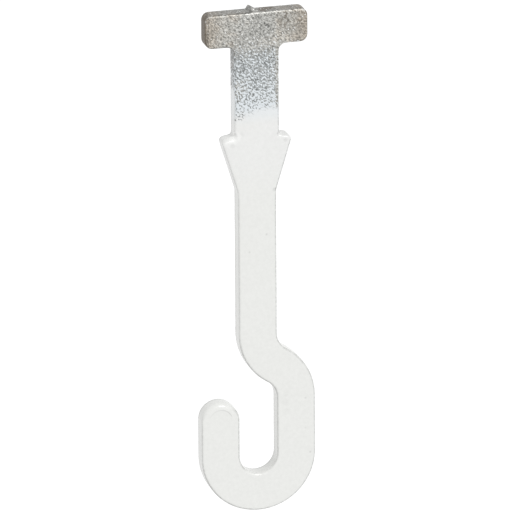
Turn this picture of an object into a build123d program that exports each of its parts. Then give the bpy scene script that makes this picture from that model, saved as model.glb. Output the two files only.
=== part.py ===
from build123d import *
from math import acos, degrees
import os

# Lamp ceiling hook: one flat hook sheared from 3 mm steel strip.
# Its T-shaped head goes up through the slot of a ceiling box and is given a quarter turn,
# so that the undersides of the head hang on the box. The lamp's ring hangs in the bowl.
#
# Frame: +Z up, X across the flat faces, Y through the thickness, front face at -Y.
# The origin is the middle of the head's underside, on the line that the load hangs on.
# All sizes are in millimetres.

# Stock
thickness = 3.0
edge_radius = 0.3  # long edges, rounded by tumbling and paint

# Head
head_width = 18.25
head_height = 6.0
head_corner_radius = 1.3
head_root_radius = 1.3  # between the head's underside and the neck

# Nib left on top of the head, where it was sheared from the next blank
nib_width = 1.3
nib_height = 0.65
nib_foot_x = -1.15  # its left foot, from the middle of the head
nib_crest = 0.3  # its crest, from the left foot
nib_crest_radius = 0.12
nib_root = 0.6  # how deep it is rooted in the head
nib_setback = 0.25  # its ends, from the faces of the strip

# Neck, shoulders and taper
neck_width = 7.95
neck_length = 16.35
shoulder_width = 12.7  # over the sharp corners, before they are rounded
shoulder_fall = 0.4  # a shoulder's tip, below its root
shoulder_tip_radius = 0.8
left_root_radius = 0.5  # the two roots wore differently in the press tool
right_root_radius = 0.9
taper_length = 10.1
taper_end_radius = 1.0

# Shank, crank and hook, all of one strip width
strip_width = 6.8
shank_length = 26.0
crank_radius = 6.9  # centre line of the crank's two bends
leg_length = 10.1
hook_gap = 6.75  # clear width between the leg and the tip
tip_length = 6.65  # straight part of the tip, up from the level of the bowl's centre

# What follows from them
shoulder_root_z = -neck_length
shoulder_tip_z = shoulder_root_z - shoulder_fall
taper_end_z = shoulder_root_z - taper_length
taper_middle_z = shoulder_root_z - taper_length / 2
bowl_radius = (hook_gap + strip_width) / 2  # centre line, with its centre under the origin
crank_angle = degrees(acos(1 - bowl_radius / (2 * crank_radius)))  # sets the leg off by bowl_radius


def corners_at(height):
    """The outline's corners at one height, from left to right."""
    corners = outline.vertices().filter_by_position(Axis.Y, height - 0.01, height + 0.01)
    return corners.sort_by(Axis.X)


with BuildPart() as hook:
    with BuildSketch(Plane.XZ) as outline:
        # Head, neck, shoulders and taper: the right half, and its mirror image
        with BuildLine():
            Polyline(
                (0, head_height),
                (head_width / 2, head_height),
                (head_width / 2, 0),
                (neck_width / 2, 0),
                (neck_width / 2, shoulder_root_z),
                (shoulder_width / 2, shoulder_tip_z),
                (strip_width / 2, taper_end_z),
                (0, taper_end_z),
            )
            mirror(about=Plane.YZ)
        make_face()

        # Shank, crank, leg, bowl and tip: one centre line, widened to the strip
        with BuildLine():
            shank = Line((0, taper_middle_z), (0, taper_end_z - shank_length))
            crank_out = JernArc(shank @ 1, shank % 1, crank_radius, crank_angle)
            crank_back = JernArc(crank_out @ 1, crank_out % 1, crank_radius, -crank_angle)
            leg = Line(crank_back @ 1, (crank_back @ 1) - (0, leg_length))
            bowl = JernArc(leg @ 1, leg % 1, bowl_radius, -180)
            Line(bowl @ 1, (bowl @ 1) + (0, tip_length))
            offset(amount=strip_width / 2)
        make_face()

        # Corners of the outline, from the top down
        fillet(corners_at(head_height), radius=head_corner_radius)
        fillet(corners_at(0)[1:3], radius=head_root_radius)
        fillet([corners_at(0)[0], corners_at(0)[-1]], radius=head_corner_radius)
        fillet(corners_at(shoulder_root_z)[0], radius=left_root_radius)
        fillet(corners_at(shoulder_root_z)[-1], radius=right_root_radius)
        fillet(corners_at(shoulder_tip_z), radius=shoulder_tip_radius)
        fillet(corners_at(taper_end_z), radius=taper_end_radius)
    extrude(amount=thickness / 2, both=True)
    fillet(hook.faces().filter_by(Axis.Y).edges(), radius=edge_radius)

    # Nib across the top of the head
    with BuildSketch(Plane.XZ):
        with BuildLine():
            Polyline(
                (nib_foot_x, head_height - nib_root),
                (nib_foot_x, head_height),
                (nib_foot_x + nib_crest, head_height + nib_height),
                (nib_foot_x + nib_width, head_height),
                (nib_foot_x + nib_width, head_height - nib_root),
                close=True,
            )
        make_face()
    extrude(amount=thickness / 2 - nib_setback, both=True)
    fillet(hook.edges().filter_by(Axis.Y).sort_by(Axis.Z)[-1], radius=nib_crest_radius)

hook.part.label = "lamp_hook"
os.makedirs("parts", exist_ok=True)
export_step(hook.part, "parts/lamp_hook.step")
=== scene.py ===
"""A lamp ceiling hook, sheared from steel strip: white paint that thins out in overspray to a bare head."""

import logging
import math
from dataclasses import dataclass, field
from enum import Enum
from typing import Callable

import bmesh
import bpy
from mathutils import Matrix, Vector


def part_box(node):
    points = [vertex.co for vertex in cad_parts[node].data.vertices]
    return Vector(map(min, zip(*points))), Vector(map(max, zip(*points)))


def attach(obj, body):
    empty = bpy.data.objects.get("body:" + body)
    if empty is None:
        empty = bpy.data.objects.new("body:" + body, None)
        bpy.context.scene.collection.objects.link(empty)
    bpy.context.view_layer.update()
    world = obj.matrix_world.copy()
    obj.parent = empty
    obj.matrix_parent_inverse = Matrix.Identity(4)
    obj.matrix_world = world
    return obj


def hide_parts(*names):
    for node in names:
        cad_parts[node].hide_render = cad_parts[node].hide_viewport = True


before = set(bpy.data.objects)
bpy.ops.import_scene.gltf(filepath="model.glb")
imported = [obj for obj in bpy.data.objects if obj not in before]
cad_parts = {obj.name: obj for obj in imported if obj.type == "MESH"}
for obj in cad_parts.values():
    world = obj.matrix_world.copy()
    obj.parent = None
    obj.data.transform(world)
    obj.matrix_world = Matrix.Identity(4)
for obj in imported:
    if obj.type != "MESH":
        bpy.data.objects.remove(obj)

LOG = logging.getLogger("lamp_hook")
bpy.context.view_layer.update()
NODE = "lamp_hook"
BODY = "root"
MM = 0.001
NEAR = 0.01 * MM  # places closer than this are one
SQUARE = 0.9  # a face points along an axis when its normal's share of it is over this
GRAIN_LEAN = 45.0  # which way the strip's grain runs, in degrees down from level to the right
PHOTO_PIXELS = 512
Colour = tuple[float, float, float]
Socket = bpy.types.NodeSocket


class Side(Enum):
    """The hook's two sides, by the sign of x."""

    LEFT = -1
    RIGHT = 1


def in_mm(*values: float) -> Vector:
    """Return a place given in millimetres as one in metres."""
    return Vector(values) * MM


def clear_selection() -> None:
    """Leave edit mode and select nothing."""
    if bpy.context.object and bpy.context.object.mode != "OBJECT":
        bpy.ops.object.mode_set(mode="OBJECT")
    bpy.ops.object.select_all(action="DESELECT")


def add_block(name: str, middle: Vector, size: Vector) -> bpy.types.Object:
    """Add a block and open it in edit mode, with faces to select.

    Args:
        name: The object's name.
        middle: The block's middle, in metres.
        size: Its three sizes, in metres.

    Returns:
        The block.
    """
    clear_selection()
    bpy.ops.mesh.primitive_cube_add(size=1.0, location=middle, scale=size)
    bpy.ops.object.transform_apply(location=True, rotation=True, scale=True)
    block = bpy.context.object
    block.name = name
    bpy.ops.object.mode_set(mode="EDIT")
    return block


def pick_faces(test: Callable[[bmesh.types.BMFace], bool]) -> None:
    """Select only the faces that pass a test, in the mesh that is being edited.

    Args:
        test: Says whether a face is wanted.
    """
    bpy.ops.mesh.select_mode(type="FACE")
    bpy.ops.mesh.select_all(action="DESELECT")
    mesh = bpy.context.object.data
    for face in bmesh.from_edit_mesh(mesh).faces:
        face.select_set(test(face))
    bmesh.update_edit_mesh(mesh)


def pick_edges(test: Callable[[bmesh.types.BMEdge], bool]) -> float:
    """Select only the edges that pass a test, in the mesh that is being edited.

    Args:
        test: Says whether an edge is wanted.

    Returns:
        How far the surface turns at the last one, in radians.
    """
    bpy.ops.mesh.select_mode(type="EDGE")
    bpy.ops.mesh.select_all(action="DESELECT")
    mesh = bpy.context.object.data
    turn = 0.0
    for edge in bmesh.from_edit_mesh(mesh).edges:
        if test(edge):
            edge.select_set(True)
            turn = edge.calc_face_angle()
    bmesh.update_edit_mesh(mesh)
    return turn


def pull(*way: float) -> None:
    """Extrude the selected face, by so many millimetres along each axis."""
    bpy.ops.mesh.extrude_region_move(TRANSFORM_OT_translate={"value": in_mm(*way)})


def widen(share: float) -> None:
    """Scale the selected face along the hook's width, to a share of what it was."""
    bpy.ops.transform.resize(value=(share, 1.0, 1.0))


def bend(x: float, z: float, degrees: float, steps: int) -> None:
    """Extrude the selected face round an arc that lies in the hook's flat.

    Args:
        x: The arc's centre, across the hook, in millimetres.
        z: The arc's height, in millimetres.
        degrees: How far it turns, positive from the left down to the bottom.
        steps: How many straight pieces stand for the arc.
    """
    angle = math.radians(degrees)
    bpy.ops.mesh.spin(steps=steps, angle=angle, center=in_mm(x, 0, z), axis=(0.0, 1.0, 0.0))


def ease(value: float, low: float, high: float) -> float:
    """Go smoothly from 0 at one value to 1 at another.

    Args:
        value: The value that is read.
        low: Where the result is 0.
        high: Where the result is 1.

    Returns:
        The result.
    """
    share = min(1.0, max(0.0, (value - low) / (high - low)))
    return share * share * (3 - 2 * share)


@dataclass(frozen=True)
class Corner:
    """A corner of the hook's outline and the radius it is rounded to, in millimetres."""

    x: float
    z: float
    radius: float
    steps: int = 8


@dataclass(frozen=True)
class Pit:
    """A small dent in the front face, in millimetres."""

    x: float
    z: float
    radius: float
    depth: float

    def sink(self, place: Vector) -> float:
        """Return how deep the pit is at a place, in millimetres."""
        reach = math.hypot(place.x - self.x, place.z - self.z) / self.radius
        return self.depth * math.exp(-reach * reach)


@dataclass(frozen=True)
class Roll:
    """A stretch of the front face's rim that the shears rolled over. Millimetres and degrees.

    The rim is an arc about a centre. The reach is how far the roll comes in from it, and is negative
    on a hollow rim.
    """

    x: float
    z: float
    rim: float
    reach: float
    depth: float
    start: float
    end: float
    fade: float = 30.0

    def share(self, place: Vector) -> float:
        """Return how far out in the roll a place lies: 0 where the roll starts, and 1 at the rim."""
        return 1 + (math.hypot(place.x - self.x, place.z - self.z) - self.rim) / self.reach

    def along(self, place: Vector) -> float:
        """Return how strong the roll is at a place, which falls off at its two ends."""
        turn = math.degrees(math.atan2(place.z - self.z, place.x - self.x))
        return ease(turn, self.start, self.start + self.fade) * ease(turn, self.end, self.end - self.fade)

    def sink(self, place: Vector) -> float:
        """Work out how far the flat face is sunk at a place.

        Args:
            place: The place, in millimetres.

        Returns:
            The depth, in millimetres.
        """
        share = self.share(place)
        if share <= 0:
            return 0.0
        depth = self.depth * self.along(place) * ease(share, 1.7, 1.1)
        return depth * (1 - math.sqrt(1 - min(0.98, share) ** 2))

    def cover(self, place: Vector) -> float:
        """Return how much of the usual rim the roll takes away at a place, from 0 to 1."""
        share = self.share(place)
        return self.along(place) * ease(share, 0.0, 0.3) * ease(share, 1.7, 1.1)


@dataclass
class Nib:
    """The rough little ridge left on top of the head, where the blank was sheared off. Millimetres."""

    foot: float = -1.2
    width: float = 1.35
    height: float = 0.67
    crest: float = 0.38
    crest_width: float = 0.14
    crest_setback: float = 0.85
    setback: float = 0.01
    flare: float = 0.45
    foot_drop: float = 0.22
    root: float = 0.6

    def build(self, head_top: float, thickness: float) -> bpy.types.Object:
        """Model the nib, rooted in the head.

        Args:
            head_top: The height of the head's top.
            thickness: The strip's thickness.

        Returns:
            The nib, ready to be joined to the hook.
        """
        middle = in_mm(self.foot + self.width / 2, 0, head_top - self.root / 2)
        nib = add_block("nib", middle, in_mm(self.width, thickness - 2 * self.setback, self.root))
        pick_faces(lambda face: face.normal.z > SQUARE)
        pull(0, 0, self.height)
        widen(self.crest_width / self.width)
        bpy.ops.transform.translate(value=in_mm(self.crest - self.width / 2, 0, 0))
        pick_edges(lambda edge: all(vert.co.z > head_top * MM and vert.co.y < 0 for vert in edge.verts))
        bpy.ops.transform.translate(value=in_mm(self.crest_width, self.crest_setback, 0))
        right = (self.foot + 0.9 * self.width) * MM
        pick_edges(lambda edge: all(vert.co.x > right and vert.co.y < 0 for vert in edge.verts))
        bpy.ops.transform.translate(value=in_mm(self.flare, 0, 0))
        front = (0.98 * thickness / 2 - self.setback) * MM

        def on_front_foot(edge: bmesh.types.BMEdge) -> bool:
            """Say whether an edge runs along the nib's foot at the front."""
            places = [vert.co for vert in edge.verts]
            return all(abs(place.z - head_top * MM) < NEAR and place.y < -front for place in places)

        pick_edges(on_front_foot)
        bpy.ops.transform.translate(value=in_mm(0, 0, -self.foot_drop))
        clear_selection()
        return nib


@dataclass
class Hook:
    """The whole hook: its sizes in millimetres and degrees, and the steps that model it."""

    head_width: float = 18.25
    head_height: float = 6.0
    head_radius: float = 1.3
    neck_width: float = 7.95
    neck_length: float = 16.35
    shoulder_width: float = 12.7
    shoulder_fall: float = 0.4
    shoulder_tip_radius: float = 0.8
    left_root_radius: float = 0.5
    right_root_radius: float = 0.9
    taper_length: float = 10.1
    taper_radius: float = 1.0
    strip_width: float = 6.8
    shank_length: float = 26.0
    crank_radius: float = 6.9
    leg_length: float = 10.1
    hook_gap: float = 6.75
    tip_length: float = 6.65
    edge_radius: float = 0.27
    skin_step: float = 0.168
    press_fade: tuple[float, float] = (0.08, 0.42)
    sheared_turn: tuple[float, float] = (25, 55)
    wave_height: float = 0.03
    wave_length: float = 3.5
    nib: Nib = field(default_factory=Nib)
    pits: tuple[Pit, ...] = (
        Pit(8.4, -64.8, 0.25, 0.05),
        Pit(8.37, -70.3, 0.25, 0.05),
        Pit(9.22, -74.8, 0.3, 0.06),
        Pit(5.0, -17.5, 0.4, 0.1),
        Pit(-4.5, -17.75, 0.45, 0.08),
    )

    def __post_init__(self) -> None:
        """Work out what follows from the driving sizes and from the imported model."""
        low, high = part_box(NODE)
        self.thickness = (high.y - low.y) / MM
        self.shoulder_root_z = -self.neck_length
        self.shoulder_tip_z = self.shoulder_root_z - self.shoulder_fall
        self.taper_end_z = self.shoulder_root_z - self.taper_length
        self.bowl_radius = (self.hook_gap + self.strip_width) / 2
        self.crank_angle = math.degrees(math.acos(1 - self.bowl_radius / (2 * self.crank_radius)))
        self.crank_top_z = self.taper_end_z - self.shank_length
        self.leg_top_z = self.crank_top_z - 2 * self.crank_radius * math.sin(math.radians(self.crank_angle))
        self.bowl_z = self.leg_top_z - self.leg_length
        self.tip_centre_z = self.bowl_z + self.tip_length
        self.tip_top_z = self.tip_centre_z + self.strip_width / 2
        self.rolls = (
            Roll(
                -self.bowl_radius, self.tip_centre_z, self.strip_width / 2,
                reach=1.2, depth=0.8, start=15, end=185, fade=45,
            ),
            Roll(0, self.bowl_z, self.hook_gap / 2, reach=-0.6, depth=0.25, start=-150, end=-30),
            self.shoulder_roll(Side.LEFT, reach=1.5, depth=0.75),
            self.shoulder_roll(Side.RIGHT, reach=0.7, depth=0.32),
        )

    def shoulder_roll(self, side: Side, reach: float, depth: float) -> Roll:
        """Lay a nearly straight roll along the top of a shoulder.

        Args:
            side: Which shoulder it is.
            reach: How far down the roll comes.
            depth: How deep the flat face is sunk at the rim.

        Returns:
            The roll.
        """
        bow = 8  # the arc's radius as a share of the shoulder's run: nearly straight
        half_length = 0.75  # of the roll, as a share of that run
        run = (self.shoulder_width - self.neck_width) / 2
        slope = math.atan2(self.shoulder_fall, run)
        radius = bow * run
        half = math.degrees(half_length / bow)
        x = side.value * ((self.shoulder_width + self.neck_width) / 4 - radius * math.sin(slope))
        z = self.shoulder_root_z - self.shoulder_fall / 2 - radius * math.cos(slope)
        middle = 90 - side.value * math.degrees(slope)
        return Roll(x, z, radius, reach, depth, middle - half, middle + half, fade=0.35 * half)

    def build(self) -> bpy.types.Object:
        """Model the hook from a block of strip.

        Returns:
            The finished hook, undressed.
        """
        middle = in_mm(0, 0, self.taper_end_z - self.shank_length / 2)
        hook = add_block("painted_hook", middle, in_mm(self.strip_width, self.thickness, self.shank_length))
        self.draw_down()
        self.draw_up()
        self.round_outline()
        self.round_edges()
        nib = self.nib.build(self.head_height, self.thickness)
        nib.select_set(True)
        hook.select_set(True)
        bpy.context.view_layer.objects.active = hook
        bpy.ops.object.join()
        self.fuse(hook)
        self.press(hook)
        self.ripple(hook)
        self.mark_edges(hook)
        return hook

    def draw_down(self) -> None:
        """Draw the shank down through the crank, the leg and the bowl to the tip."""
        pick_faces(lambda face: face.normal.z < -SQUARE)
        bend(self.crank_radius, self.crank_top_z, self.crank_angle, 16)
        bend(self.bowl_radius - self.crank_radius, self.leg_top_z, -self.crank_angle, 16)
        pull(0, 0, -self.leg_length)
        bend(0, self.bowl_z, -180, 48)
        pull(0, 0, self.tip_top_z - self.bowl_z)

    def draw_up(self) -> None:
        """Draw the shank up through the taper, the shoulders and the neck, and spread the head."""
        middle_z = self.taper_end_z - self.shank_length / 2
        pick_faces(lambda face: face.normal.z > SQUARE and face.calc_center_median().z > middle_z * MM)
        pull(0, 0, self.taper_length - self.shoulder_fall)
        widen(self.shoulder_width / self.strip_width)
        pull(0, 0, self.shoulder_fall)
        widen(self.neck_width / self.shoulder_width)
        pull(0, 0, self.neck_length)
        pull(0, 0, self.head_height)
        arm = (self.head_width - self.neck_width) / 2
        for side in Side:
            pick_faces(lambda face: face.normal.x * side.value > SQUARE and face.calc_center_median().z > 0)
            pull(side.value * arm, 0, 0)

    def round_outline(self) -> None:
        """Make each flat face one polygon, and round the corners of the outline."""
        half = self.thickness / 2 * MM
        pick_faces(lambda face: math.isclose(abs(face.calc_center_median().y), half, abs_tol=NEAR))
        bpy.ops.mesh.dissolve_faces()
        head, neck, strip = self.head_width / 2, self.neck_width / 2, self.strip_width / 2
        tip_radius = 0.999 * strip  # a little less than half, so that the two rounds don't meet
        corners = [
            Corner(-neck, self.shoulder_root_z, self.left_root_radius),
            Corner(neck, self.shoulder_root_z, self.right_root_radius),
            Corner(-self.bowl_radius - strip, self.tip_top_z, tip_radius, 20),
            Corner(-self.bowl_radius + strip, self.tip_top_z, tip_radius, 20),
        ]
        for sign in (side.value for side in Side):
            corners += [
                Corner(sign * head, self.head_height, self.head_radius),
                Corner(sign * head, 0, self.head_radius),
                Corner(sign * neck, 0, self.head_radius),
                Corner(sign * self.shoulder_width / 2, self.shoulder_tip_z, self.shoulder_tip_radius),
                Corner(sign * strip, self.taper_end_z, self.taper_radius),
            ]
        for corner in corners:
            self.round_corner(corner)

    def round_corner(self, corner: Corner) -> None:
        """Round one corner of the outline.

        Args:
            corner: The corner's place and radius.
        """
        place = in_mm(corner.x, 0, corner.z)
        turn = pick_edges(lambda edge: ((edge.verts[0].co + edge.verts[1].co) / 2 - place).length < NEAR)
        reach = corner.radius * math.tan(turn / 2) * MM
        bpy.ops.mesh.bevel(offset=reach, segments=corner.steps, profile=0.5, affect="EDGES")

    def round_edges(self) -> None:
        """Round the long edges that run round both flat faces."""
        half = self.thickness / 2 * MM

        def on_rim(edge: bmesh.types.BMEdge) -> bool:
            """Say whether an edge runs round a flat face."""
            depths = [vert.co.y for vert in edge.verts]
            return depths[0] * depths[1] > 0 and all(abs(abs(depth) - half) < NEAR for depth in depths)

        pick_edges(on_rim)
        bpy.ops.mesh.bevel(offset=self.edge_radius * MM, segments=5, profile=0.5, affect="EDGES")

    def fuse(self, hook: bpy.types.Object) -> None:
        """Make the hook and its nib one skin of small even faces.

        Args:
            hook: The hook, joined with its nib.
        """
        skin = hook.modifiers.new("one_skin", "REMESH")
        skin.mode = "VOXEL"
        skin.voxel_size = self.skin_step * MM
        bpy.ops.object.modifier_apply(modifier=skin.name)
        soften = hook.modifiers.new("soften", "SMOOTH")
        soften.factor = 0.5
        soften.iterations = 3
        bpy.ops.object.modifier_apply(modifier=soften.name)
        bpy.ops.object.shade_smooth()

    def press(self, hook: bpy.types.Object) -> None:
        """Roll the front face's rims over and press its pits in.

        Args:
            hook: The fused hook.
        """
        for vert in hook.data.vertices:
            place = vert.co / MM
            if place.y < 0:
                sunk = sum(dent.sink(place) for dent in (*self.pits, *self.rolls))
                vert.co.y += sunk * ease(-place.y / self.thickness, *self.press_fade) * MM

    def ripple(self, hook: bpy.types.Object) -> None:
        """Give the painted part the faint waves of a dipped or sprayed coat.

        Args:
            hook: The pressed hook.
        """
        painted = hook.vertex_groups.new(name="painted")
        for vert in hook.data.vertices:
            painted.add([vert.index], 1 - ease(vert.co.z / MM, self.shoulder_root_z, 0), "REPLACE")
        texture = bpy.data.textures.new("paint_waves", "CLOUDS")
        texture.noise_scale = self.wave_length * MM
        waves = hook.modifiers.new("paint_waves", "DISPLACE")
        waves.texture = texture
        waves.texture_coords = "LOCAL"
        waves.strength = self.wave_height * MM
        waves.mid_level = 1.0
        waves.vertex_group = painted.name
        bpy.ops.object.modifier_apply(modifier=waves.name)
        hook.vertex_groups.clear()

    def mark_edges(self, hook: bpy.types.Object) -> None:
        """Note on the mesh which points lie on a sheared side or its round rim, and which face up.

        Args:
            hook: The finished hook.
        """
        marks = {"sheared": [], "rim": [], "upper": []}
        for vert in hook.data.vertices:
            turn = math.degrees(math.acos(min(1.0, abs(vert.normal.y))))
            marks["sheared"].append(ease(turn, *self.sheared_turn))
            # the rim mark also weights the paint's painted rim shade: in full on back rims, and by front_rim
            # on the front
            back_rim = ease(turn, 5, 20) * ease(turn, 90, 80)
            marks["rim"].append(back_rim if vert.co.y > 0 else self.front_rim(vert, turn))
            marks["upper"].append((1 + vert.normal.z) / 2)
        for name, values in marks.items():
            hook.data.attributes.new(name, "FLOAT", "POINT").data.foreach_set("value", values)

    def front_rim(self, vert: bpy.types.MeshVertex, turn: float) -> float:
        """Work out how strongly a point of the front takes the painted shade on the rims.

        Args:
            vert: The point.
            turn: How far it is turned away from the flat face, in degrees.

        Returns:
            1 on the right-hand and lower rims, less on the others, and 0 off them or where rolled over.
        """
        away = max(ease(vert.normal.x, -0.3, 0.3), ease(vert.normal.z, 0.2, -0.4))
        rolled = max(roll.cover(vert.co / MM) for roll in self.rolls)
        start = 25 - 20 * away
        return ease(turn, start, start + 18) * ease(turn, 84, 70) * (0.42 + 0.58 * away) * (1 - rolled)


@dataclass(frozen=True)
class Camera:
    """Where the photograph was taken from: angles in degrees, lengths in millimetres."""

    yaw: float = 15.2
    elevation: float = 18.6
    roll: float = 0.33
    distance: float = 2500.0
    pixels_per_mm: float = 5.795
    target: tuple[float, float, float] = (0.07, 0.0, -38.57)
    sensor: float = 36.0

    def place(self) -> None:
        """Add the camera and make it the scene's own."""
        yaw, elevation, roll = (math.radians(value) for value in (self.yaw, self.elevation, self.roll))
        flat = math.cos(elevation)
        back = Vector((-math.sin(yaw) * flat, -math.cos(yaw) * flat, math.sin(elevation)))
        turn = back.to_track_quat("Z", "Y").to_matrix().to_4x4() @ Matrix.Rotation(-roll, 4, "Z")
        clear_selection()
        bpy.ops.object.camera_add(location=in_mm(*self.target) + back * self.distance * MM)
        camera = bpy.context.object
        camera.matrix_world = Matrix.Translation(camera.location) @ turn
        camera.data.sensor_width = self.sensor
        camera.data.lens = self.sensor * self.distance * self.pixels_per_mm / PHOTO_PIXELS
        camera.data.clip_end = 10.0
        bpy.context.scene.camera = camera


class NodeBoard:
    """A node tree, with short calls for the few nodes that the finishes use."""

    def __init__(self, owner: bpy.types.Material | bpy.types.World) -> None:
        """Clear the tree of a material or a world.

        Args:
            owner: The material or world.
        """
        owner.use_nodes = True
        self.owner = owner
        self.tree = owner.node_tree
        self.tree.nodes.clear()

    def add(self, kind: str, **settings: object) -> bpy.types.Node:
        """Add a node and set its properties.

        Args:
            kind: The node's type name.
            settings: Properties of the node, by name.

        Returns:
            The new node.
        """
        node = self.tree.nodes.new(kind)
        for name, value in settings.items():
            setattr(node, name, value)
        return node

    def join(self, source: object, target: Socket) -> None:
        """Link a socket to an input, or write a plain value into it.

        Args:
            source: An output socket, a number, or a tuple of numbers.
            target: The input socket that takes it.
        """
        if isinstance(source, Socket):
            self.tree.links.new(source, target)
        elif isinstance(source, tuple) and target.type == "RGBA":
            target.default_value = (*source, 1.0)
        else:
            target.default_value = source

    def math(self, operation: str, first: object, second: object = 0.0) -> Socket:
        """Do one sum on two values.

        Args:
            operation: The Math node's operation.
            first: A socket or a number.
            second: A socket or a number.

        Returns:
            The result.
        """
        node = self.add("ShaderNodeMath", operation=operation)
        self.join(first, node.inputs[0])
        self.join(second, node.inputs[1])
        return node.outputs[0]

    def product(self, *values: object) -> Socket:
        """Multiply any number of values.

        Args:
            values: Sockets or numbers, one or more.

        Returns:
            Their product.
        """
        result = values[0]
        for value in values[1:]:
            result = self.math("MULTIPLY", result, value)
        return result

    def ramp(
        self, value: object, low: object, high: object, start: object = 0.0, end: object = 1.0
    ) -> Socket:
        """Turn a range of a value smoothly into another range.

        Args:
            value: The value that is read.
            low: Where the ramp starts.
            high: Where the ramp ends.
            start: The result at and before low.
            end: The result at and past high.

        Returns:
            The result.
        """
        node = self.add("ShaderNodeMapRange", interpolation_type="SMOOTHSTEP")
        sources = {"Value": value, "From Min": low, "From Max": high, "To Min": start, "To Max": end}
        for name, source in sources.items():
            self.join(source, node.inputs[name])
        return node.outputs["Result"]

    def between(self, share: object, start: object, end: object) -> Socket:
        """Go straight from one value to another.

        Args:
            share: How far to go, from 0 to 1.
            start: The result at 0.
            end: The result at 1.

        Returns:
            The result.
        """
        node = self.add("ShaderNodeMapRange")
        for name, source in {"Value": share, "To Min": start, "To Max": end}.items():
            self.join(source, node.inputs[name])
        return node.outputs["Result"]

    def dim(self, shade: object, *where: object) -> Socket:
        """Return a shade where all the other values are 1, and 1 where any of them is 0."""
        return self.between(self.product(*where), 1.0, shade)

    def steps(self, value: object, points: tuple[tuple[float, float], ...]) -> Socket:
        """Read a value through a line of points.

        Args:
            value: The value that is read, from 0 to 1.
            points: Pairs of place and result, in order.

        Returns:
            The result.
        """
        node = self.add("ShaderNodeValToRGB")
        stops = node.color_ramp.elements
        while len(stops) < len(points):
            stops.new(1.0)
        for stop, (place, result) in zip(stops, points):
            stop.position = place
            stop.color = (result, result, result, 1.0)
        self.join(value, node.inputs["Fac"])
        return node.outputs["Color"]

    def blend(self, share: object, first: object, second: object, way: str = "MIX") -> Socket:
        """Mix two colours.

        Args:
            share: How much of the second colour, from 0 to 1.
            first: A socket or a colour.
            second: A socket or a colour.
            way: The Mix node's blend type.

        Returns:
            The mixed colour.
        """
        node = self.add("ShaderNodeMix", data_type="RGBA", blend_type=way)
        self.join(share, node.inputs["Factor"])
        for name, source in (("A", first), ("B", second)):
            socket = [entry for entry in node.inputs if entry.name == name and entry.type == "RGBA"][0]
            self.join(source, socket)
        return [entry for entry in node.outputs if entry.type == "RGBA"][0]

    def shade(self, colour: object, value: Socket) -> Socket:
        """Multiply a colour by a value.

        Args:
            colour: A socket or a colour.
            value: How bright the colour stays.

        Returns:
            The shaded colour.
        """
        grey = self.add("ShaderNodeCombineColor")
        for name in ("Red", "Green", "Blue"):
            self.join(value, grey.inputs[name])
        return self.blend(1.0, colour, grey.outputs["Color"], "MULTIPLY")

    def grain(self, place: object, per_mm: float, detail: float = 2.0, twist: float = 0.0) -> Socket:
        """Add soft noise.

        Args:
            place: The coordinates, in millimetres.
            per_mm: How many lumps of noise there are in a millimetre.
            detail: How many finer layers it has.
            twist: How far the noise is warped by itself.

        Returns:
            The noise, from 0 to 1 and mostly near the middle.
        """
        node = self.add("ShaderNodeTexNoise")
        sources = {"Vector": place, "Scale": per_mm, "Detail": detail, "Distortion": twist}
        for name, source in sources.items():
            self.join(source, node.inputs[name])
        return node.outputs["Fac"]


@dataclass(frozen=True)
class Layout:
    """The places that a finish is laid out by, as sockets in millimetres."""

    board: NodeBoard
    place: Socket
    x: Socket
    y: Socket
    z: Socket
    sheared: Socket
    rim: Socket
    upper: Socket

    @classmethod
    def on(cls, board: NodeBoard) -> "Layout":
        """Read the places from the piece's own coordinates.

        Args:
            board: The material's nodes.

        Returns:
            The layout, with the marks that the mesh's points carry.
        """
        coordinates = board.add("ShaderNodeTexCoord")
        mapping = board.add("ShaderNodeMapping")
        mapping.inputs["Scale"].default_value = (1 / MM, 1 / MM, 1 / MM)
        board.join(coordinates.outputs["Object"], mapping.inputs["Vector"])
        split = board.add("ShaderNodeSeparateXYZ")
        board.join(mapping.outputs["Vector"], split.inputs["Vector"])
        x, y, z = (split.outputs[name] for name in ("X", "Y", "Z"))
        names = ("sheared", "rim", "upper")
        marks = (board.add("ShaderNodeAttribute", attribute_name=name).outputs["Fac"] for name in names)
        return cls(board, mapping.outputs["Vector"], x, y, z, *marks)

    @property
    def across(self) -> Socket:
        """How far a place is from the hook's middle line, to either side."""
        return self.board.math("ABSOLUTE", self.x)

    def leaning(self, stretch: float) -> Socket:
        """Draw the place out the way that the strip's grain runs, so that noise on it makes streaks.

        Args:
            stretch: How many times longer than wide the streaks are.

        Returns:
            The coordinates, drawn out.
        """
        mapping = self.board.add("ShaderNodeMapping", vector_type="TEXTURE")
        mapping.inputs["Rotation"].default_value = (0.0, math.radians(GRAIN_LEAN), 0.0)
        mapping.inputs["Scale"].default_value = (stretch, 1.0, 1.0)
        self.board.join(self.place, mapping.inputs["Vector"])
        return mapping.outputs["Vector"]

    def away(self, *place: float) -> Socket:
        """Measure the distance from a place.

        Args:
            place: Its three coordinates, in millimetres.

        Returns:
            The distance, in millimetres.
        """
        node = self.board.add("ShaderNodeVectorMath", operation="DISTANCE")
        self.board.join(self.place, node.inputs[0])
        self.board.join(place, node.inputs[1])
        return node.outputs["Value"]


@dataclass(frozen=True)
class Spot:
    """A round spot: its strength out to an inner radius, and nothing past an outer one. Millimetres."""

    place: tuple[float, float, float]
    inner: float
    outer: float
    strength: float = 1.0

    def share(self, layout: Layout) -> Socket:
        """Return how strong the spot is at each place."""
        return layout.board.ramp(layout.away(*self.place), self.outer, self.inner, 0.0, self.strength)


@dataclass(frozen=True)
class Mark:
    """A speck or stain, with its place and radius in millimetres and how bright it leaves the colour."""

    place: tuple[float, float, float]
    radius: float
    shade: float

    def darken(self, layout: Layout) -> Socket:
        """Return the mark's shade, which is 1 away from it."""
        return layout.board.ramp(layout.away(*self.place), 0.3 * self.radius, self.radius, self.shade, 1.0)


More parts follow.
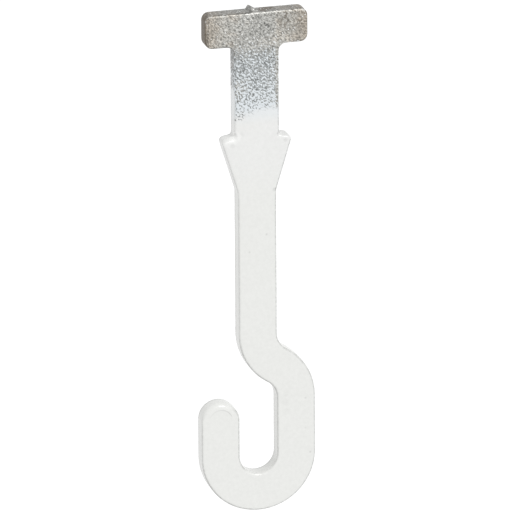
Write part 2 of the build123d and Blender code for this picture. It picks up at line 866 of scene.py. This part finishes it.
@dataclass(frozen=True)
class Crease:
    """The painted shade of the fine crease inside the tip's rolled rim: an arc on the front face.
    Millimetres.
    """

    place: tuple[float, float, float] = (-6.775, -1.5, -67.78)
    radius: float = 2.12
    width: float = 0.13
    lowest: float = 0.65
    fade: float = 1.7
    faintest: float = 0.3
    shade: float = 0.82

    def darken(self, layout: Layout) -> Socket:
        """Paint the shade of the crease.

        Args:
            layout: The places on the hook.

        Returns:
            The crease's shade, which is 1 away from it.
        """
        board = layout.board
        off = board.math("ABSOLUTE", board.math("SUBTRACT", layout.away(*self.place), self.radius))
        line = board.ramp(off, 0.3 * self.width, self.width, 1.0, 0.0)
        bottom = self.place[2] + self.lowest
        middle = self.place[0]
        right = board.ramp(layout.x, middle - self.fade, middle + self.fade, self.faintest, 1.0)
        return board.dim(self.shade, line, board.ramp(layout.z, bottom, bottom + 0.5), right)


@dataclass(frozen=True)
class WhitePaint:
    """Sprayed white paint: whole up to the neck, and scattered above that. Lengths in millimetres."""

    colour: Colour = (0.783, 0.788, 0.767)
    upper_colour: Colour = (0.793, 0.796, 0.785)
    spray_colour: Colour = (0.73, 0.775, 0.805)
    gloss: float = 0.22
    film: float = 0.03
    peel: float = 0.02
    peel_per_mm: float = 0.8
    # painted shade: the rims darken into a dark outline, most on the right-hand, lower and back rims
    rim_shade: float = 0.66
    back_rim_shade: float = 0.6
    # painted shade: the sheared sides are darker towards the back edge and where they face down
    back_shade: float = 0.73
    under_shade: float = 0.86
    # painted shade: the right shoulder's top side and the inside of the bowl are darker
    shoulder_shade: float = 0.92
    bowl_shade: float = 0.96
    right_shoulder: Spot = Spot((5.2, 0.0, -16.5), 1.8, 2.4)
    left_root: Spot = Spot((-4.3, -1.3, -16.3), 0.8, 2.0)
    bowl: Spot = Spot((0.0, 0.0, -77.8), 2.0, 6.0)
    edge_height: float = -11.85
    edge_slope: float = 0.40
    edge_top: float = -11.4
    side_rise: float = 5.8
    edge_wobble: float = 2.6
    edge_softness: float = 0.45
    spray_per_mm: float = 3.4
    spray_stretch: float = 1.35
    spray_levels: tuple[float, float] = (0.7, 0.33)
    spray_softness: float = 0.06
    spray_cover: float = 0.95
    spray_top: float = 4.0
    spray_bottom: float = -13.0
    spray_shares: tuple[tuple[float, float], ...] = (
        (0.0, 0.0), (0.16, 0.08), (0.25, 0.2), (0.37, 0.32),
        (0.53, 0.41), (0.69, 0.5), (0.84, 0.66), (1.0, 0.9),
    )
    bare_strip: float = 3.45
    marks: tuple[Mark, ...] = (
        # Specks on the shank, and a chip on its left side
        Mark((-1.48, -1.5, -37.28), 0.28, 0.88),
        Mark((1.56, -1.5, -34.29), 0.28, 0.86),
        Mark((3.05, -1.5, -26.25), 0.5, 0.86),
        Mark((3.25, -1.4, -26.15), 0.3, 0.85),
        Mark((-3.35, 1.25, -51.7), 0.5, 0.3),
        # The floors of the pits
        Mark((8.4, -1.45, -64.8), 0.26, 0.88),
        Mark((8.37, -1.45, -70.3), 0.24, 0.93),
        Mark((9.22, -1.45, -74.8), 0.28, 0.86),
        Mark((5.02, -1.5, -17.55), 0.48, 0.9),
        Mark((-4.41, -1.5, -17.78), 0.6, 0.92),
        # A painted highlight on the left root, smudges beside it and on the leg, and a bare speck on the
        # neck
        Mark((-4.05, -1.3, -16.3), 1.5, 1.12),
        Mark((-2.8, -1.5, -15.6), 0.4, 0.95),
        Mark((-2.5, -1.5, -15.95), 0.4, 0.95),
        Mark((4.95, -1.5, -63.6), 0.9, 0.975),
        Mark((4.75, -1.5, -65.2), 0.9, 0.965),
        Mark((4.9, -1.5, -66.9), 0.9, 0.975),
        Mark((-3.76, -1.35, -13.11), 0.3, 0.25),
    )
    crease: Crease = Crease()

    def tint(self, layout: Layout) -> Socket:
        """Colour the whole coat, a little warmer low down.

        Args:
            layout: The places on the hook.

        Returns:
            The colour.
        """
        board = layout.board
        cloud = board.ramp(board.grain(layout.place, 0.12), 0.4, 0.6, 0.0, 0.3)
        lower = board.math("MAXIMUM", board.ramp(layout.z, -18.0, -30.0), cloud)
        colour = board.blend(lower, self.upper_colour, self.colour)
        colour = board.blend(board.ramp(layout.z, -14.5, -12.0, 0.0, 0.5), colour, self.spray_colour)
        return board.shade(colour, self.shade(layout))

    def shade(self, layout: Layout) -> Socket:
        """Work out how bright the coat is: painted shade on its rims, sides, undersides, right shoulder and
        bowl, and its marks.

        Args:
            layout: The places on the hook.

        Returns:
            The shade, which is about 1 on the flat faces.
        """
        board = layout.board
        patchy = board.ramp(board.grain(layout.place, 2.5), 0.35, 0.6, 0.4, 1.0)
        left = board.ramp(layout.x, -1.0, 0.0, 1.0, 0.0)
        soft = board.dim(0.0, board.ramp(layout.y, 0.4, -0.4), left, board.ramp(layout.z, -29.0, -26.0))
        # painted shade on the rims, lighter on the front ones than on the back ones
        rim_painted_shade = board.between(board.ramp(layout.y, -0.4, 0.4), self.rim_shade, self.back_rim_shade)
        root = board.dim(0.0, self.left_root.share(layout))
        return board.product(
            board.dim(rim_painted_shade, layout.rim, soft, patchy, root),
            # painted shade on the sheared sides: towards the back, facing down, on the right shoulder and in
            # the bowl
            board.dim(self.back_shade, layout.sheared, board.ramp(layout.y, 0.6, 1.25)),
            board.dim(self.shoulder_shade, layout.sheared, self.right_shoulder.share(layout)),
            board.dim(self.under_shade, layout.sheared, board.ramp(layout.upper, 0.48, 0.3)),
            board.dim(self.bowl_shade, layout.sheared, self.bowl.share(layout)),
            board.between(board.grain(layout.place, 1.8), 0.95, 1.05),
            *(mark.darken(layout) for mark in (*self.marks, self.crease)),
        )

    def whole(self, layout: Layout) -> Socket:
        """Work out where the coat is whole.

        Args:
            layout: The places on the hook.

        Returns:
            1 where it is whole, 0 above.
        """
        board = layout.board
        noise = board.math("SUBTRACT", board.grain(layout.place, 0.9), 0.5)
        slope = board.math("ADD", board.product(layout.x, self.edge_slope), self.edge_height)
        edge = board.math("MINIMUM", slope, self.edge_top)
        edge = board.math("ADD", edge, board.product(layout.sheared, self.side_rise))
        edge = board.math("ADD", edge, board.product(noise, self.edge_wobble))
        above = board.math("SUBTRACT", layout.z, edge)
        return board.ramp(above, self.edge_softness, -self.edge_softness)

    def spray(self, layout: Layout) -> Socket:
        """Scatter the overspray: worm-like flecks, sparse on the head and dense near the whole coat.

        Args:
            layout: The places on the hook.

        Returns:
            How much of the steel the flecks cover, from 0 to 1.
        """
        board = layout.board
        fall = board.math("SUBTRACT", self.spray_top, layout.z)
        share = board.steps(board.product(fall, 1 / (self.spray_top - self.spray_bottom)), self.spray_shares)
        strip = board.ramp(layout.x, self.bare_strip - 0.4, self.bare_strip + 0.3, 1.0, 0.5)
        arms = board.ramp(layout.across, 3.4, 4.6, 1.0, 0.0)
        share = board.product(share, strip, arms)
        share = board.between(layout.sheared, share, board.product(board.ramp(layout.z, 0.5, -6.5), arms))
        flecks = board.grain(layout.leaning(self.spray_stretch), self.spray_per_mm, 0.5, 0.5)
        above = board.math("SUBTRACT", flecks, board.between(share, *self.spray_levels))
        flecks = board.ramp(above, -self.spray_softness, self.spray_softness, 0.0, self.spray_cover)
        return board.product(flecks, board.ramp(layout.across, 9.0, 8.7))

    def mist(self, layout: Layout) -> Socket:
        """Colour the flecks: bluish on the neck, and white on the head and next to the whole coat.

        Args:
            layout: The places on the hook.

        Returns:
            The colour.
        """
        board = layout.board
        neck = board.product(board.ramp(layout.z, 2.5, -1.5), board.ramp(layout.z, -13.5, -11.0))
        return board.blend(neck, self.upper_colour, self.spray_colour)


@dataclass(frozen=True)
class BareSteel:
    """Rolled and sheared steel strip: mottled grey, browner at its ends, with painted highlights on its
    head's top rims.
    """

    colour: Colour = (0.42, 0.41, 0.38)
    cool_colour: Colour = (0.33, 0.345, 0.345)
    brown_colour: Colour = (0.37, 0.325, 0.27)
    burnt_colour: Colour = (0.1, 0.075, 0.048)
    # painted highlight: the colour of the highlights on the head's top rims, by the nib and at a corner
    highlight_colour: Colour = (0.68, 0.67, 0.64)
    gloss: float = 0.45
    grain_per_mm: float = 4.0
    grain_stretch: float = 1.7
    grain_shades: tuple[float, float] = (0.45, 1.55)
    grain_depth: float = 0.03
    streaks_per_mm: float = 5.0
    streak_stretch: float = 6.0
    # painted shade: the sheared sides of the steel are darker
    sheared_painted_shade: float = 0.7
    rim_shade: float = 0.74
    top_rim_shade: float = 0.84
    end_shade: float = 0.75
    scaled_metal: float = 0.3
    nib_foot: Spot = Spot((-1.4, -1.5, 5.4), 0.8, 1.5)
    # painted highlights: a ridge by the nib and the head's top left corner
    fold: Spot = Spot((-0.4, -1.45, 5.95), 0.4, 0.8, 0.65)
    corner_highlight: Spot = Spot((-8.5, -1.4, 5.35), 0.5, 1.0, 1.8)
    stain: Spot = Spot((1.9, 0.5, 6.0), 1.1, 2.2, 0.8)
    burn: Spot = Spot((6.3, -1.5, 4.2), 1.5, 3.4, 0.45)
    scratches: tuple[Mark, ...] = (
        Mark((1.4, -1.5, 3.9), 0.3, 0.55),
        Mark((1.8, -1.5, 3.6), 0.35, 0.42),
        Mark((2.2, -1.5, 3.3), 0.3, 0.55),
        Mark((0.7, -1.5, 2.0), 0.33, 0.6),
        Mark((1.5, -1.5, 1.85), 0.33, 0.55),
        Mark((2.0, -1.5, 1.2), 0.3, 0.6),
        Mark((1.5, -1.5, -1.8), 0.3, 0.6),
        Mark((1.95, -1.5, -2.4), 0.3, 0.6),
    )

    def tint(self, layout: Layout) -> Socket:
        """Colour the steel.

        Args:
            layout: The places on the hook.

        Returns:
            The colour.
        """
        board = layout.board
        across = layout.across
        bare = board.ramp(layout.x, 3.0, 3.7, 1.0, 0.2)
        middle = board.ramp(across, 6.5, 1.5, 0.0, 0.35)
        cool = board.math("MAXIMUM", board.ramp(layout.z, 1.5, -3.0), middle)
        colour = board.blend(board.product(cool, bare), self.colour, self.cool_colour)
        colour = board.blend(board.ramp(across, 5.5, 9.2, 0.0, 0.75), colour, self.brown_colour)
        patches = board.ramp(board.grain(layout.place, 0.45), 0.52, 0.64)
        patches = board.product(patches, board.ramp(across, 1.0, 5.0, 0.1, 0.35))
        colour = board.blend(patches, colour, self.brown_colour)
        colour = board.shade(colour, self.shade(layout))
        burn = board.product(self.burn.share(layout), board.ramp(board.grain(layout.place, 2.2), 0.5, 0.6))
        colour = board.blend(board.math("MAXIMUM", self.scale(layout), burn), colour, self.burnt_colour)
        return board.blend(self.painted_highlights(layout), colour, self.highlight_colour)

    def shade(self, layout: Layout) -> Socket:
        """Work out how bright the steel is: mottled by its grain, dull on its left edges, and with painted
        shade on its sheared sides.

        Args:
            layout: The places on the hook.

        Returns:
            The shade, which is about 1 on the flat faces.
        """
        board = layout.board
        grain = board.grain(layout.leaning(self.grain_stretch), self.grain_per_mm, 1.5, 0.6)
        flat = board.dim(0.0, board.math("MAXIMUM", layout.sheared, layout.rim))
        return board.product(
            board.ramp(grain, 0.25, 0.75, *self.grain_shades),
            board.dim(self.end_shade, flat, board.ramp(layout.x, -8.3, -8.6)),
            board.ramp(board.grain(layout.place, 0.5), 0.3, 0.7, 0.92, 1.08),
            board.dim(self.sheared_painted_shade, layout.sheared),
            board.dim(self.rim_shade, layout.rim, board.ramp(layout.x, 0.5, -0.8)),
            board.dim(self.top_rim_shade, self.top_rim(layout), board.ramp(layout.x, -0.9, -1.5)),
            board.dim(self.streaks(layout, 0.6, 1.4), self.nib_foot.share(layout)),
            *(mark.darken(layout) for mark in self.scratches),
        )

    def streaks(self, layout: Layout, low: float, high: float) -> Socket:
        """Return the streaks that the shears left by the nib: high on them, and low between them."""
        noise = layout.board.grain(layout.leaning(self.streak_stretch), self.streaks_per_mm, 0.5)
        return layout.board.ramp(noise, 0.4, 0.6, low, high)

    def scale(self, layout: Layout) -> Socket:
        """Work out where the steel is under brown scale: on the head's ends, and in a stain on its top.

        Args:
            layout: The places on the hook.

        Returns:
            How thick the scale is, from 0 to 1.
        """
        board = layout.board
        noise = board.grain(layout.place, 0.9)
        ends = board.product(board.ramp(layout.across, 8.5, 9.0), board.ramp(noise, 0.3, 0.6, 0.88, 1.0))
        stain = board.product(self.stain.share(layout), board.ramp(noise, 0.35, 0.6))
        return board.product(layout.sheared, board.math("MAXIMUM", ends, stain))

    def top_rim(self, layout: Layout) -> Socket:
        """Work out which points lie on the rims of the head's top, by how far up they face.

        Args:
            layout: The places on the hook.

        Returns:
            1 on those rims, 0 elsewhere.
        """
        board = layout.board
        line = board.product(board.ramp(layout.upper, 0.6, 0.72), board.ramp(layout.upper, 0.99, 0.92))
        return board.product(line, board.ramp(layout.z, 5.4, 5.6))

    def painted_highlights(self, layout: Layout) -> Socket:
        """Work out where painted highlights sit on the head: dashes on its up-facing top rims right of the
        nib, a streaked ridge by the nib, and a corner.

        Args:
            layout: The places on the hook.

        Returns:
            How strong the painted highlight is, from 0 to 1.
        """
        board = layout.board
        noise = board.grain(layout.place, 2.4)
        right = board.ramp(layout.x, -1.0, -0.5, 0.05, 1.4)
        dashes = board.ramp(noise, 0.42, 0.6, 0.05, 0.75)
        dashes = board.product(layout.rim, self.top_rim(layout), right, dashes)
        fold = board.product(self.fold.share(layout), self.streaks(layout, 0.2, 1.0))
        corner_glints = board.ramp(noise, 0.4, 0.55, 0.1, 1.0)
        corner = board.product(layout.rim, self.corner_highlight.share(layout), corner_glints)
        return board.math("MAXIMUM", board.math("MAXIMUM", dashes, fold), corner)


@dataclass(frozen=True)
class OversprayedSteel:
    """The hook's one finish: bare steel under white paint."""

    paint: WhitePaint = WhitePaint()
    steel: BareSteel = BareSteel()

    def build(self) -> bpy.types.Material:
        """Make the material.

        Returns:
            The material.
        """
        board = NodeBoard(bpy.data.materials.new("oversprayed_steel"))
        layout = Layout.on(board)
        whole = self.paint.whole(layout)
        spray = self.paint.spray(layout)
        cover = board.math("MAXIMUM", whole, spray)
        colour = board.blend(spray, self.steel.tint(layout), self.paint.mist(layout))
        surface = board.add("ShaderNodeBsdfPrincipled")
        board.join(board.blend(whole, colour, self.paint.tint(layout)), surface.inputs["Base Color"])
        bare = board.math("SUBTRACT", 1.0, cover)
        metal = board.dim(self.steel.scaled_metal, self.steel.scale(layout))
        board.join(board.product(bare, metal), surface.inputs["Metallic"])
        board.join(board.between(cover, self.steel.gloss, self.paint.gloss), surface.inputs["Roughness"])
        bump = board.add("ShaderNodeBump")
        bump.inputs["Distance"].default_value = MM
        board.join(self.relief(layout, cover), bump.inputs["Height"])
        board.join(bump.outputs["Normal"], surface.inputs["Normal"])
        output = board.add("ShaderNodeOutputMaterial")
        board.join(surface.outputs["BSDF"], output.inputs["Surface"])
        return board.owner

    def relief(self, layout: Layout, cover: Socket) -> Socket:
        """Raise the paint's film over the steel's grain.

        Args:
            layout: The places on the hook.
            cover: Where paint covers the steel.

        Returns:
            The height, in millimetres.
        """
        board = layout.board
        grain = board.product(board.grain(layout.place, self.steel.grain_per_mm), self.steel.grain_depth)
        film = board.product(cover, self.paint.film)
        peel = board.product(board.grain(layout.place, self.paint.peel_per_mm), self.paint.peel)
        return board.math("ADD", film, board.between(cover, grain, peel))


@dataclass(frozen=True)
class Studio:
    """Plain soft light, a white surround and a pale floor well below the hanging hook."""

    surround: float = 0.83
    key_way: tuple[float, float, float] = (0.30, -0.80, 0.52)
    key_strength: float = 1.01
    key_spread: float = 20.0
    floor_drop: float = 165.0
    floor_size: float = 6.0
    floor_colour: Colour = (0.75, 0.75, 0.75)
    floor_glow: float = 0.35

    def build(self) -> None:
        """Set the surround, the key light and the floor."""
        bpy.context.scene.view_settings.view_transform = "Standard"
        self.build_surround()
        clear_selection()
        bpy.ops.object.light_add(type="SUN", location=Vector(self.key_way))
        key = bpy.context.object
        key.name = "key_light"
        key.rotation_euler = Vector(self.key_way).to_track_quat("Z", "Y").to_euler()
        key.data.energy = self.key_strength
        key.data.angle = math.radians(self.key_spread)
        self.build_floor()

    def seen_directly(self, board: NodeBoard) -> Socket:
        """Tell rays that show the surround itself from rays that carry its light.

        Args:
            board: The node tree that asks.

        Returns:
            A socket that is 1 for camera, mirror and see-through rays, and otherwise 0.
        """
        rays = board.add("ShaderNodeLightPath")
        direct = board.math("MAXIMUM", rays.outputs["Is Camera Ray"], rays.outputs["Is Glossy Ray"])
        return board.math("MAXIMUM", direct, rays.outputs["Is Transmission Ray"])

    def build_surround(self) -> None:
        """Light the hook evenly from all sides, and show the surround as white."""
        world = bpy.data.worlds.new("surround")
        bpy.context.scene.world = world
        board = NodeBoard(world)
        light = board.add("ShaderNodeBackground")
        board.join((1.0, 1.0, 1.0), light.inputs["Color"])
        board.join(board.between(self.seen_directly(board), self.surround, 1.0), light.inputs["Strength"])
        output = board.add("ShaderNodeOutputWorld")
        board.join(light.outputs["Background"], output.inputs["Surface"])

    def build_floor(self) -> None:
        """Lay the floor, which keeps the hook's shadow and is otherwise white."""
        clear_selection()
        bpy.ops.mesh.primitive_plane_add(size=self.floor_size, location=in_mm(0, 0, -self.floor_drop))
        bpy.ops.object.transform_apply(location=True, rotation=True, scale=True)
        floor = bpy.context.object
        floor.name = "floor"
        board = NodeBoard(bpy.data.materials.new("pale_floor"))
        matt = board.add("ShaderNodeBsdfDiffuse")
        board.join(self.floor_colour, matt.inputs["Color"])
        glow = board.add("ShaderNodeEmission")
        board.join(board.between(self.seen_directly(board), 0.0, self.floor_glow), glow.inputs["Strength"])
        both = board.add("ShaderNodeAddShader")
        board.join(matt.outputs["BSDF"], both.inputs[0])
        board.join(glow.outputs["Emission"], both.inputs[1])
        output = board.add("ShaderNodeOutputMaterial")
        board.join(both.outputs["Shader"], output.inputs["Surface"])
        floor.data.materials.append(board.owner)


def main() -> None:
    """Place the camera and the studio, build and dress the hook, and log its face count."""
    logging.basicConfig(level=logging.INFO)
    Camera().place()
    Studio().build()
    hook = Hook().build()
    hook.data.materials.clear()
    hook.data.materials.append(OversprayedSteel().build())
    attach(hook, BODY)
    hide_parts(NODE)
    LOG.info("%s: %d faces", hook.name, len(hook.data.polygons))


if __name__ == "__main__":
    main()
